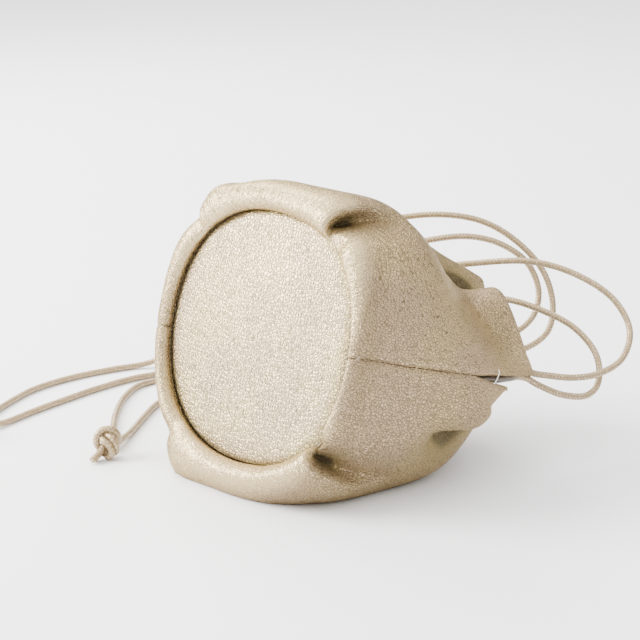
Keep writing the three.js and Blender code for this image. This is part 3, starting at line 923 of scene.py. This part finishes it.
def gather_shade(angle):
    shades = []
    for shade in GATHER_SHADES:
        offset = wrap_degrees(angle - shade["at"])
        wide = shade["wide"] * side_share(offset, shade["sharp_side"])
        shades.append(shade["share"] * bell(offset, wide))
    return np.max(shades, axis=0)


def shade_spot(spot, rows, angle):
    along = bell(rows - spot["row"], spot["rows"], 2)
    return spot["share"] * np.outer(along, bell(wrap_degrees(angle - spot["at"]), spot["wide"]))


def pleat_line(angle, wide):
    return pleat_at(angle, dict(pleat=1, pleat_wide=wide, corner=0))[0] / PLEATS[0]["deep"]


# The fold attribute is painted shade: it darkens the leather's colour.
def fold_shade(rows, angle):
    gathered = np.outer(rise(rows, GATHER_ROW, GATHER_ROWS), gather_shade(angle))
    spots = sum(shade_spot(spot, rows, angle) for spot in SHADE_SPOTS)
    in_pleat = bell(rows - PLEAT_SHADE_ROW, PLEAT_SHADE_ROWS, 2)
    pleated = np.outer(in_pleat, pleat_line(angle, PLEAT_SHADE_WIDE))
    seamed = np.outer(SEAM_SHADE * fall(rows, SEAM_SHADE_ROWS, SEAM_SHADE_ROWS), np.ones(len(angle)))
    on_roll = rise(rows, 0, CREASE_IN) * fall(rows, CREASE_END, 1)
    creased = CREASE_SHADE * np.outer(on_roll, pleat_line(angle, CREASE_WIDE))
    return np.clip(gathered + spots + pleated + seamed + creased, 0, 1)


print("shade spots:", len(SHADE_SPOTS), "gathers:", len(GATHER_SHADES))

# %% [markdown]
# A maker skives leather, pares it thin, where it is folded into a pleat, or the fold would not lie
# flat. The same is needed here: two full walls in a tight pleat would cut through each other. The
# thickness could be modelled as a second skin, but the Solidify modifier adds it on the inner, flesh
# side, and a vertex group tells it where the leather is thin. The UV map of a panel is its flat cut,
# in metres: how far round the leather a point lies, and how far along from the seam at the base.

# %% Body panels
LEATHER_ROUND = 78.0
THIN_SHARE = 0.8
THIN_END = 3.5
PANEL_MERGE = 1e-7


def give_thickness(piece, group=""):
    thick = piece.modifiers.new("thickness", "SOLIDIFY")
    thick.thickness = WALL * MM
    thick.offset = -1
    thick.vertex_group = group
    thick.material_offset = 1
    thick.material_offset_rim = 0


def skive(piece):
    """A vertex group that holds how much of its thickness the leather keeps."""
    skived = piece.vertex_groups.new(name="skived")
    for number, share in enumerate(piece.data.attributes["thin"].data):
        skived.add([number], share.value, "REPLACE")
    return skived.name


def leather_panel(panel):
    skin = skins[panel["name"]]
    steps = np.linalg.norm(np.diff(skin, axis=0), axis=2)
    travel = np.concatenate([np.zeros((1, skin.shape[1])), np.cumsum(steps, axis=0)])
    angle = np.pad(angles[panel["name"]], len(SEAM_TURN_IN), mode="edge")
    width = np.radians(angle) * LEATHER_ROUND
    flat = np.stack(np.broadcast_arrays(width[None, :] * MM, travel * MM), axis=2)
    rows = np.full(len(skin), float(LAST_ROW))
    rows[: len(WALL_ROWS)] = WALL_ROWS
    thin = 1 - THIN_SHARE * np.outer(fall(rows, THIN_END, 1), pleat_line(angle, PLEAT_SHADE_WIDE))
    # fold carries painted shade, roll the roll's stretch and its painted highlight.
    bm = bent_grid(
        to_frame(skin), flat, roll=roll_shine(rows, angle), fold=fold_shade(rows, angle), thin=thin,
    )
    piece = finish_mesh(bm, panel["name"] + "_leather", merge=PANEL_MERGE)
    give_thickness(piece, skive(piece))
    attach(piece, "root")
    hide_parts(panel["name"])
    return piece


panels = {panel["name"]: leather_panel(panel) for panel in (FRONT, BACK)}
for piece in panels.values():
    print(piece.name, len(piece.data.polygons), "faces on the outside")

# %% [markdown]
# The base is a round of the same leather, stretched flat and a little pillowed. Its edge turns back
# into the seam, so a dark line shows between it and the roll. A filled circle would be one flat face
# that can't be pillowed, so the grid is laid out in rings, from the middle to the edge, and merged at
# the middle. The rings lie closer at the edge, where the shape turns. Painted shade darkens the colour
# along the edge, widest and darkest on the near side, under the roll.

# %% Base panel
BASE_RINGS = 64
BASE_SIDES = 168
BASE_CROWD = 0.8
BASE_INSET = 0.6
BASE_EDGE_GAP = 0.3
BASE_PILLOW = 1.2
BASE_EDGE_TURN = 1.4
BASE_EDGE_WIDE = 0.045
BASE_DENT = 0.5
BASE_DENT_STEP = 26.0
BASE_SHADE = 0.45
BASE_SHADE_WIDE = 0.035
BASE_SHADE_NEAR = 3.3
NEAR_BROAD = 50
NEAR_DARK = 60


def base_skin():
    share = np.linspace(0, 1, BASE_RINGS + 1) ** BASE_CROWD
    angle = np.linspace(0, 360, BASE_SIDES + 1)
    share_grid, angle_grid = (g.ravel() for g in np.meshgrid(share, angle, indexing="ij"))
    radius = share_grid * (around(BASE_EDGE, angle_grid) - BASE_EDGE_GAP)
    axes = section_axes(BASE_TILT, 0)
    level = ring_point(BASE_CENTRE, axes, radius, angle_grid, 0)
    turn = np.exp(-(1 - share_grid) / BASE_EDGE_WIDE)
    dent = BASE_DENT * noise_at(level, BASE_DENT_STEP, 4) * (1 - share_grid**4)
    behind = BASE_INSET - BASE_PILLOW * (1 - share_grid**2) + BASE_EDGE_TURN * turn + dent
    point = ring_point(BASE_CENTRE, axes, radius, angle_grid, behind)
    # Painted shade along the base's edge, carried by the fold attribute.
    near = wrap_degrees(angle_grid)
    shade_wide = BASE_SHADE_WIDE * (1 + BASE_SHADE_NEAR * bell(near, NEAR_BROAD))
    shade = BASE_SHADE * (1 + bell(near, NEAR_DARK)) * bell(1 - share_grid, shade_wide, 4)
    across = radius * np.cos(np.radians(angle_grid))
    upward = radius * np.sin(np.radians(angle_grid))
    shape = (len(share), len(angle))
    flat = np.stack([across, upward], axis=1) * MM
    return point.reshape(*shape, 3), flat.reshape(*shape, 2), shade.reshape(shape)


base_points, base_flat, base_shade = base_skin()
base_panel = finish_mesh(bent_grid(to_frame(base_points), base_flat, fold=base_shade), "base_panel_leather")
give_thickness(base_panel)
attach(base_panel, "root")
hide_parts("base_panel")
facing = sum(p.normal.x * p.area for p in base_panel.data.polygons)
print("base panel:", len(base_panel.data.polygons), "faces, facing sum", round(facing, 5))

# %% [markdown]
# The area of every sheet is printed, in square centimetres. The base is a round. A body panel is cut
# a little wider at the base than at the mouth, and the cord gathers it there. Real leather hardly
# stretches.

for piece in [*panels.values(), base_panel]:
    print(piece.name, round(1e4 * sum(p.area for p in piece.data.polygons)), "square centimetres")

# %% [markdown]
# At the near slit a short stitch of pale thread stops the seam from opening further. It goes down
# through a needle hole on the upper panel, crosses the seam and goes down again on the lower one. A
# straight bar would float or sink in the curved leather, so its points are given on the panels
# themselves, by angle, row and height over the leather.

# %% Bar tack
THREAD_D = 0.55
THREAD_STEP = 0.3
THREAD_SIDES = 8
TACK = [
    (FRONT, 5.5, 7.66, -0.6), (FRONT, 5.0, 7.66, 0.3), (FRONT, 3.5, 7.62, 0.5),
    (BACK, 362.7, 8.57, 0.5), (BACK, 362.4, 8.56, 0.3), (BACK, 362.2, 8.55, -0.6),
]

tack_points = [
    under(panel, np.array([angle]), np.array([row]), -lift)[0] for panel, angle, row, lift in TACK
]
tack_path = smooth_path(tack_points, step=THREAD_STEP)
bar_tack = tube("bar_tack", tack_path, diameter=THREAD_D, sides=THREAD_SIDES)
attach(bar_tack, "root")
print("bar tack", round(path_length(np.array(tack_points)), 1), "mm long")

# %% [markdown]
# Materials come next. A material is a small graph of nodes, and it could be clicked together in the
# editor. In a script each node and its links would take many lines, so two helpers start a material
# and add a node with its inputs in one call.

# %% Nodes and materials
def new_material(name):
    material = bpy.data.materials.new(name)
    material.use_nodes = True
    tree = material.node_tree
    tree.nodes.clear()
    output = tree.nodes.new("ShaderNodeOutputMaterial")
    shader = tree.nodes.new("ShaderNodeBsdfPrincipled")
    tree.links.new(shader.outputs["BSDF"], output.inputs["Surface"])
    return material, tree, shader


def add_node(tree, kind, inputs=None, **settings):
    made = tree.nodes.new("ShaderNode" + kind)
    for key, value in settings.items():
        setattr(made, key, value)
    for key, value in (inputs or {}).items():
        if isinstance(value, bpy.types.NodeSocket):
            tree.links.new(value, made.inputs[key])
        else:
            made.inputs[key].default_value = value
    return made


print("a material is started by", new_material.__name__, "and grows by", add_node.__name__)

# %% [markdown]
# Every finish here is built from the same few steps: sums, ramps, mixes of colours and noise. They read
# a piece in three ways: by its place in the object, by its own flat map, or by one of its attributes.
# Node groups could hold these steps too, but plain functions are shorter to read.

# %% Steps of a finish
def math_node(tree, operation, a, b=0.0, clamp=False):
    return add_node(tree, "Math", {0: a, 1: b}, operation=operation, use_clamp=clamp).outputs[0]


def plus(tree, a, b):
    return math_node(tree, "ADD", a, b)


def times(tree, a, b):
    return math_node(tree, "MULTIPLY", a, b)


def ramp(tree, value, low, high, to_low=0.0, to_high=1.0):
    limits = {"From Min": low, "From Max": high, "To Min": to_low, "To Max": to_high}
    made = add_node(tree, "MapRange", {"Value": value, **limits}, interpolation_type="SMOOTHSTEP")
    return made.outputs["Result"]


def mix_colour(tree, share, a, b, blend="MIX"):
    made = add_node(tree, "Mix", {0: share, 6: a, 7: b}, data_type="RGBA", blend_type=blend)
    return made.outputs[2]


def noise_node(tree, place, scale, detail=2.0):
    return add_node(tree, "TexNoise", {"Vector": place, "Scale": scale, "Detail": detail})


def scaled(tree, place, scale):
    made = add_node(tree, "Mapping", {"Vector": place, "Scale": scale}, vector_type="POINT")
    return made.outputs["Vector"]


def object_place(tree):
    return add_node(tree, "TexCoord").outputs["Object"]


def own_flat(tree):
    return add_node(tree, "UVMap", uv_map="UVMap").outputs["UV"]


def own_value(tree, name):
    return add_node(tree, "Attribute", attribute_name=name).outputs["Fac"]


def bump(tree, shader, height, strength, distance):
    relief = add_node(tree, "Bump", {"Height": height, "Strength": strength, "Distance": distance})
    tree.links.new(relief.outputs["Normal"], shader.inputs["Normal"])


print("steps of a finish ready")

# %% [markdown]
# The leather has a pebble grain. A photograph of leather could be laid on, but it would show its
# repeats and its own light. Cells of a Voronoi texture make pebbles of any size instead, with narrow
# creases between them, and a little noise bends them so that no two are alike. Each cell also has
# three chance numbers, by which its height, colour and gloss differ from those of its neighbours.

# %% Pebble grain
GRAIN_WARP = 0.0005
GRAIN_WARP_SCALE = 420.0
PEBBLE_DOME = 0.26
PEBBLE_HIGH = 0.4
PEBBLE_VARIES = 0.25
FINE_GRAIN_SCALE = 1300.0
FINE_GRAIN_HIGH = 0.2
ROLL_LINES = (620.0, 80.0, 1.0)
ROLL_LINES_HIGH = 1.2
ROLL_FLATTENS = 0.35


def pebbles(tree, place, cell, stretch):
    """The distance to a pebble's edge, and three chance numbers for each pebble."""
    warp = noise_node(tree, place, GRAIN_WARP_SCALE).outputs["Color"]
    middle = (0.5, 0.5, 0.5)
    centred = add_node(tree, "VectorMath", {0: warp, 1: middle}, operation="SUBTRACT").outputs[0]
    push = add_node(tree, "VectorMath", {0: centred, "Scale": GRAIN_WARP * 2}, operation="SCALE").outputs[0]
    moved = add_node(tree, "VectorMath", {0: place, 1: push}, operation="ADD").outputs[0]
    spread = {"Vector": scaled(tree, moved, stretch), "Scale": 1 / cell}
    edge = add_node(tree, "TexVoronoi", spread, feature="DISTANCE_TO_EDGE").outputs["Distance"]
    cells = add_node(tree, "TexVoronoi", spread, feature="F1").outputs["Color"]
    return edge, add_node(tree, "SeparateColor", {"Color": cells}).outputs


def pebble_height(tree, place, edge, chance):
    dome = ramp(tree, edge, 0.0, PEBBLE_DOME)
    height = times(tree, dome, plus(tree, times(tree, chance[0], PEBBLE_VARIES), PEBBLE_HIGH))
    fine = noise_node(tree, place, FINE_GRAIN_SCALE).outputs["Fac"]
    return plus(tree, height, times(tree, fine, FINE_GRAIN_HIGH))


def roll_height(tree, height, roll):
    """On the roll the pebbles are stretched flat and fine lines run across it."""
    lines = noise_node(tree, scaled(tree, own_flat(tree), ROLL_LINES), 1.0).outputs["Fac"]
    flatter = times(tree, height, ramp(tree, roll, 0.0, 1.0, 1.0, ROLL_FLATTENS))
    return plus(tree, flatter, times(tree, times(tree, lines, roll), ROLL_LINES_HIGH))


print("pebble grain ready")

# %% [markdown]
# The tops of the pebbles carry a champagne metal foil and the creases between them are brown. Deep in
# the folds painted shade turns the colour brown and near black. A plain metal would mirror the room and
# look hard, so the finish is only three parts metal in four, with a broad change of tone over the bag.
# Where the leather is stretched over the roll the foil is smoother, and a painted highlight brightens it.

# %% Leather
GRAIN_HEIGHT = 0.0007
TONE_SCALE = 26.0
CREASE_REACH = 0.16
CREASE_DARK = 0.6
PEBBLE_LIT = 0.95
PEBBLE_LIT_VARIES = 0.1
FOLD_SHADE_BROWN = (0.24, 0.19, 0.075, 1)
FOLD_SHADE_DARK = (0.05, 0.042, 0.025, 1)
ROLL_PAINTED_HIGHLIGHT = (0.63, 0.50, 0.275, 1)
ROLL_PAINTED_HIGHLIGHT_SHARE = 0.6
FOIL_ROUGH = 0.3
FOIL_ROUGH_VARIES = 0.12
ROLL_SMOOTHER = 0.06
FOIL_SHARE = 0.75
FOIL_TINT = (0.80, 0.69, 0.50, 1)


def leather_colour(tree, place, edge, chance, tones, painted_shade):
    broad = noise_node(tree, place, TONE_SCALE, 3.0).outputs["Fac"]
    tone = mix_colour(tree, ramp(tree, broad, 0.38, 0.62), tones[0], tones[1])
    top = ramp(tree, ramp(tree, edge, 0.0, CREASE_REACH), 0.0, 1.0, 1 - CREASE_DARK, 1.0)
    lit = times(tree, plus(tree, times(tree, chance[1], PEBBLE_LIT_VARIES), PEBBLE_LIT), top)
    shade = add_node(tree, "CombineColor", {0: lit, 1: lit, 2: lit}).outputs[0]
    colour = mix_colour(tree, 1.0, tone, shade, blend="MULTIPLY")
    # Painted shade: brown in the folds, near black deepest in.
    colour = mix_colour(tree, ramp(tree, painted_shade, 0.0, 0.65, 0.0, 0.55), colour, FOLD_SHADE_BROWN)
    return mix_colour(tree, ramp(tree, painted_shade, 0.6, 1.0, 0.0, 0.8), colour, FOLD_SHADE_DARK)


def leather_material(name, cell, stretch, tones, relief, rolled):
    material, tree, shader = new_material(name)
    place = object_place(tree)
    edge, chance = pebbles(tree, place, cell, stretch)
    painted_shade = own_value(tree, "fold")
    height = pebble_height(tree, place, edge, chance)
    rough = plus(tree, times(tree, chance[2], FOIL_ROUGH_VARIES), FOIL_ROUGH)
    colour = leather_colour(tree, place, edge, chance, tones, painted_shade)
    if rolled:
        roll = own_value(tree, "roll")
        height = roll_height(tree, height, roll)
        rough = math_node(tree, "SUBTRACT", rough, times(tree, roll, ROLL_SMOOTHER))
        # Painted highlight: the roll's colour is brightened, except where painted shade lies.
        painted_highlight = times(tree, math_node(tree, "SUBTRACT", roll, painted_shade, clamp=True), ROLL_PAINTED_HIGHLIGHT_SHARE)
        colour = mix_colour(tree, painted_highlight, colour, ROLL_PAINTED_HIGHLIGHT)
    bump(tree, shader, height, relief, GRAIN_HEIGHT)
    tree.links.new(colour, shader.inputs["Base Color"])
    tree.links.new(rough, shader.inputs["Roughness"])
    shader.inputs["Metallic"].default_value = FOIL_SHARE
    shader.inputs["Specular Tint"].default_value = FOIL_TINT
    return material


body_leather = leather_material(
    "body_leather", cell=0.0013, stretch=(0.8, 1.0, 1.0), relief=0.9, rolled=True,
    tones=[(0.44, 0.33, 0.178, 1), (0.42, 0.308, 0.19, 1)],
)
base_leather = leather_material(
    "base_leather", cell=0.0016, stretch=(1.0, 1.0, 0.85), relief=0.5, rolled=False,
    tones=[(0.61, 0.495, 0.275, 1), (0.53, 0.42, 0.265, 1)],
)
print("leather:", body_leather.name, base_leather.name)

# %% [markdown]
# The flesh side of the leather shows only in the mouth and at the slits. On a real bag it is a dull,
# napped tan. Hair could make a true nap, but it would be far too small to see, so one fine noise
# gives both the change of tone and a faint relief.

# %% Flesh side
NAP_SCALE = 900.0
NAP_DARK = (0.33, 0.27, 0.19, 1)
NAP_PALE = (0.52, 0.45, 0.34, 1)
NAP_HEIGHT = 0.0003


def flesh_material():
    material, tree, shader = new_material("flesh_side")
    nap = noise_node(tree, object_place(tree), NAP_SCALE, 4.0).outputs["Fac"]
    colour = mix_colour(tree, ramp(tree, nap, 0.3, 0.7), NAP_DARK, NAP_PALE)
    tree.links.new(colour, shader.inputs["Base Color"])
    bump(tree, shader, nap, 0.4, NAP_HEIGHT)
    shader.inputs["Roughness"].default_value = 0.9
    return material


flesh_side = flesh_material()
for piece in panels.values():
    piece.data.materials.append(body_leather)
    piece.data.materials.append(flesh_side)
base_panel.data.materials.append(base_leather)
base_panel.data.materials.append(flesh_side)
print("leather pieces:", len(panels) + 1)

# %% [markdown]
# The cord is a fine waxed braid. Its plies could be modelled one by one, but each is hardly wider than
# a pixel of the picture, so the braid is drawn as two slanting waves that cross each other.
# The pattern has to follow the cord, so the material reads the tube's own UV map: travel along the
# cord and turn around it. The stretch that lies in the slit is darkened by the tube's shade.

# %% Cord
BRAID_STEP = 0.0018
BRAID_TURNS = 3.0
BRAID_HEIGHT = 0.0002
FLECK_SCALE = 1100.0
CORD_TONE_SCALE = 60.0
CORD_TONES = [(0.35, 0.262, 0.15, 1), (0.375, 0.275, 0.168, 1)]
CORD_DEEP = (0.27, 0.198, 0.108, 1)
CORD_WAX = (0.62, 0.49, 0.31, 1)
CORD_SHADED = (0.04, 0.03, 0.02, 1)
SHADED_SHARE = 0.92


def braid_waves(tree):
    parts = add_node(tree, "SeparateXYZ", {"Vector": own_flat(tree)}).outputs
    run = math_node(tree, "DIVIDE", parts["X"], BRAID_STEP)
    turn = times(tree, parts["Y"], BRAID_TURNS)
    waves = []
    for slant in ("ADD", "SUBTRACT"):
        phase = times(tree, math_node(tree, slant, run, turn), 2 * math.pi)
        waves.append(math_node(tree, "SINE", phase))
    return times(tree, math_node(tree, "MAXIMUM", waves[0], waves[1]), 0.5)


def cord_material():
    material, tree, shader = new_material("waxed_cord")
    braid = braid_waves(tree)
    place = object_place(tree)
    fleck = noise_node(tree, place, FLECK_SCALE, 3.0).outputs["Fac"]
    broad = noise_node(tree, place, CORD_TONE_SCALE, 1.0).outputs["Fac"]
    colour = mix_colour(tree, ramp(tree, broad, 0.35, 0.65), CORD_TONES[0], CORD_TONES[1])
    colour = mix_colour(tree, ramp(tree, braid, -0.2, 0.4), CORD_DEEP, colour)
    light = ramp(tree, plus(tree, fleck, times(tree, braid, 0.2)), 0.58, 0.72)
    colour = mix_colour(tree, light, colour, CORD_WAX)
    shaded = times(tree, own_value(tree, "shade"), SHADED_SHARE)
    colour = mix_colour(tree, shaded, colour, CORD_SHADED)
    tree.links.new(colour, shader.inputs["Base Color"])
    bump(tree, shader, plus(tree, braid, times(tree, fleck, 0.5)), 0.25, BRAID_HEIGHT)
    shader.inputs["Roughness"].default_value = 0.4
    shader.inputs["Metallic"].default_value = 0.5
    return material


waxed_cord = cord_material()
for piece in [*strands.values(), *knots.values(), *casing_cords]:
    piece.data.materials.append(waxed_cord)
print("cord pieces:", len(strands) + len(knots) + len(casing_cords))

# %% [markdown]
# The stitch is a pale thread. It is only half a millimetre thick, so a plain pale colour would nearly
# do. A wave along its UV map adds the twist of its plies, which breaks up the highlight.

# %% Thread
TWIST_SCALE = 900.0
THREAD_DULL = (0.72, 0.68, 0.62, 1)
THREAD_PALE = (0.92, 0.90, 0.87, 1)


def thread_material():
    material, tree, shader = new_material("pale_thread")
    inputs = {"Vector": own_flat(tree), "Scale": TWIST_SCALE, "Distortion": 1.0}
    twist = add_node(tree, "TexWave", inputs).outputs["Fac"]
    tree.links.new(mix_colour(tree, twist, THREAD_DULL, THREAD_PALE), shader.inputs["Base Color"])
    shader.inputs["Roughness"].default_value = 0.7
    return material


bar_tack.data.materials.append(thread_material())
print("thread:", bar_tack.data.materials[0].name)

# %% [markdown]
# The bag lies on a plain pale floor. A curved backdrop could hide where a floor ends, but this one is
# so large that its edge is never in the picture. It is matt and a very little uneven in tone, like paper.

# %% Floor
FLOOR_SIZE = 8.0
FLOOR_TONES = [(0.90, 0.92, 0.955, 1), (0.92, 0.94, 0.97, 1)]

bm = bmesh.new()
bmesh.ops.create_grid(bm, x_segments=1, y_segments=1, size=FLOOR_SIZE / 2)
floor = finish_mesh(bm, "floor")
floor_material, tree, shader = new_material("pale_floor")
uneven = noise_node(tree, object_place(tree), 3.0).outputs["Fac"]
tree.links.new(mix_colour(tree, uneven, FLOOR_TONES[0], FLOOR_TONES[1]), shader.inputs["Base Color"])
shader.inputs["Roughness"].default_value = 0.9
floor.data.materials.append(floor_material)
print("floor:", FLOOR_SIZE, "m wide")

# %% [markdown]
# Metal shows what is around it, so the surroundings matter as much as the lamps. One even white would
# wash out the shading, so they are brightest overhead, like a large white ceiling, and dim at the
# sides. The floor is then almost white, while the sides of the bag keep their shading.

# %% Surroundings
LIGHT_COLOUR = (1.0, 0.975, 0.94, 1)
SIDE_LIGHT = 0.25
TOP_LIGHT = 3.6

world = bpy.data.worlds.new("surroundings")
world.use_nodes = True
sky = world.node_tree
direction = add_node(sky, "TexCoord").outputs["Generated"]
upward = add_node(sky, "SeparateXYZ", {"Vector": direction}).outputs["Z"]
strength = ramp(sky, upward, 0.1, 0.95, SIDE_LIGHT, TOP_LIGHT)
sky.links.new(strength, sky.nodes["Background"].inputs["Strength"])
sky.nodes["Background"].inputs["Color"].default_value = LIGHT_COLOUR
bpy.context.scene.world = world
print("surroundings:", SIDE_LIGHT, "at the sides,", TOP_LIGHT, "overhead")

# %% [markdown]
# Three round lamps finish the light. A large one on the left gives the rolls their bright ridges, one
# from behind lights the loops and the top edge, and a weak one in front fills the darkest folds. Small
# lamps or a sun would cast hard shadows, which a bag on a pale table in a bright room doesn't have.

# %% Lamps
LAMP_TARGET = Vector((0, 0, 0.07))


def area_lamp(name, at, size, power):
    lamp = bpy.data.lights.new(name, "AREA")
    lamp.shape = "DISK"
    lamp.size = size
    lamp.energy = power
    lamp.color = LIGHT_COLOUR[:3]
    piece = bpy.data.objects.new(name, lamp)
    piece.location = at
    piece.rotation_mode = "QUATERNION"
    piece.rotation_quaternion = (LAMP_TARGET - Vector(at)).to_track_quat("-Z", "Y")
    bpy.context.scene.collection.objects.link(piece)
    return piece


key_lamp = area_lamp("key_lamp", (-0.85, 0.85, 0.7), 0.9, 62)
fill_lamp = area_lamp("fill_lamp", (-0.9, -1.3, 0.8), 1.0, 3)
back_lamp = area_lamp("back_lamp", (0.5, 1.2, 1.0), 0.8, 30)
print("lamps:", key_lamp.name, fill_lamp.name, back_lamp.name)
